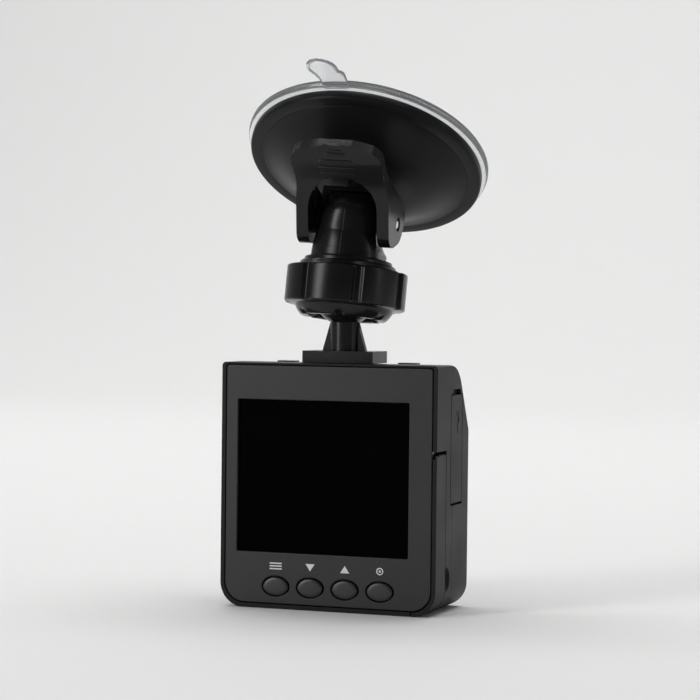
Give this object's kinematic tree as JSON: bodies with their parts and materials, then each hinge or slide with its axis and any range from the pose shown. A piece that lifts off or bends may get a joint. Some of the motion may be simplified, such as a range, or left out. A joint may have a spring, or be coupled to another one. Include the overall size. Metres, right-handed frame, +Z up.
{
  "type": "dash camera",
  "caption": "Compact dash camera with a rear screen, front keys, side doors and a lens, held by a ball-jointed arm on a suction cup with a locking lever.",
  "frame": {"origin": "middle of the flat underside of the camera body", "axes": "+Z up, screen faces -Y, lens faces +Y, +X to the right when looking at the screen"},
  "size_m": [0.0652, 0.0652, 0.1426],
  "materials": {
    "black_case": "fine satin moulded ABS",
    "black_panel": "satin moulded ABS",
    "black_key": "satin rubberised keys",
    "screen_glass": "polished dark screen window",
    "lcd": "bare display module",
    "steel": "plain steel",
    "board": "green solder mask",
    "battery_wrap": "blue shrink wrap",
    "contacts": "gold plated springs",
    "card_black": "moulded card",
    "mount_black": "glossy moulded nylon",
    "seat_nylon": "natural acetal",
    "lens_trim": "glossy turned trim",
    "lens_glass": "coated lens glass",
    "lens_dark": "matt black barrel",
    "led_clear": "smoked lens of the lamps",
    "soft_clear": "clear soft PVC"
  },
  "bodies": {
    "camera": {"front_panel": "black_panel", "display_window": "screen_glass", "display_module": "lcd", "display_bracket": "steel", "front_housing": "black_case", "rear_housing": "black_case", "battery_door_pin": "steel", "port_door_pin": "steel", "main_board": "board", "battery": "battery_wrap", "battery_contacts": "contacts", "usb_socket": "steel", "card_socket": "steel", "memory_card": "card_black", "key_board": "board", "key_switches": "steel", "top_switches": "steel", "mount_rail": "black_case", "sensor_board": "board", "lens_holder": "lens_dark", "lens_barrel": "lens_dark", "lens_ring": "lens_trim", "lens_cover": "lens_glass", "ir_leds": "led_clear", "speaker": "steel", "microphone": "steel", "housing_screws": "steel"},
    "menu_key": {"menu_button": "black_key"},
    "down_key": {"down_button": "black_key"},
    "up_key": {"up_button": "black_key"},
    "mode_key": {"mode_button": "black_key"},
    "power_key": {"power_button": "black_key"},
    "record_key": {"record_button": "black_key"},
    "battery_cover": {"battery_door": "black_case"},
    "port_cover": {"port_door": "black_case"},
    "foot": {"ball_stud": "mount_black"},
    "seat": {"ball_seat": "seat_nylon"},
    "arm": {"neck": "mount_black", "clamp_ring": "mount_black"},
    "nut": {"locking_nut": "mount_black"},
    "post": {"pull_post": "mount_black", "pivot_pin": "steel"},
    "lever_body": {"lever": "mount_black"},
    "cup": {"cup_shell": "mount_black", "suction_pad": "soft_clear"}
  },
  "joints": [
    {"name": "menu_press", "type": "slide", "parent": "camera", "child": "menu_key", "axis": [0, 1, 0], "range_m": [0, 0.0005], "stiffness_N_per_m": 900, "springref_m": -0.0003},
    {"name": "down_press", "type": "slide", "parent": "camera", "child": "down_key", "axis": [0, 1, 0], "range_m": [0, 0.0005], "stiffness_N_per_m": 900, "springref_m": -0.0003},
    {"name": "up_press", "type": "slide", "parent": "camera", "child": "up_key", "axis": [0, 1, 0], "range_m": [0, 0.0005], "stiffness_N_per_m": 900, "springref_m": -0.0003},
    {"name": "mode_press", "type": "slide", "parent": "camera", "child": "mode_key", "axis": [0, 1, 0], "range_m": [0, 0.0005], "stiffness_N_per_m": 900, "springref_m": -0.0003},
    {"name": "power_press", "type": "slide", "parent": "camera", "child": "power_key", "axis": [0, 0, -1], "range_m": [0, 0.0005], "stiffness_N_per_m": 900, "springref_m": -0.0003},
    {"name": "record_press", "type": "slide", "parent": "camera", "child": "record_key", "axis": [0, 0, -1], "range_m": [0, 0.0005], "stiffness_N_per_m": 900, "springref_m": -0.0003},
    {"name": "battery_door_swing", "type": "hinge", "parent": "camera", "child": "battery_cover", "pos_m": [0.029, -0.0094, 0.0408], "axis": [0, -1, 0], "range_deg": [0, 100]},
    {"name": "port_door_swing", "type": "hinge", "parent": "camera", "child": "port_cover", "pos_m": [0.029, 0.0032, 0.0288], "axis": [0, 1, 0], "range_deg": [0, 100]},
    {"name": "foot_slide", "type": "slide", "parent": "camera", "child": "foot", "axis": [0, -1, 0], "range_m": [0, 0.012]},
    {"name": "ball_tilt", "type": "hinge", "parent": "foot", "child": "seat", "pos_m": [0, -0.0012, 0.0825], "axis": [1, 0, 0], "range_deg": [-18, 18]},
    {"name": "ball_turn", "type": "hinge", "parent": "seat", "child": "arm", "pos_m": [0, -0.0012, 0.0825], "axis": [0.0464, 0.1156, 0.9922], "continuous": true},
    {"name": "nut_turn", "type": "hinge", "parent": "arm", "child": "nut", "pos_m": [0, -0.0012, 0.0825], "axis": [0.0464, 0.1156, 0.9922], "range_deg": [0, 120]},
    {"name": "cup_tilt", "type": "hinge", "parent": "arm", "child": "post", "pos_m": [0.00088, 0.001, 0.10135], "axis": [-0.9952, -0.0801, 0.0558], "range_deg": [-28, 35]},
    {"name": "lever_swing", "type": "hinge", "parent": "post", "child": "lever_body", "pos_m": [0.00088, 0.001, 0.10135], "axis": [0.9952, 0.0801, -0.0558], "range_deg": [0, 40]},
    {"name": "cup_release", "type": "slide", "parent": "post", "child": "cup", "axis": [-0.0052, -0.5276, -0.8495], "range_m": [0, 0.002]}
  ],
  "couplings": [
    {"joint": "cup_release", "follows": "lever_swing", "m_per_rad": 0.0024351}
  ]
}
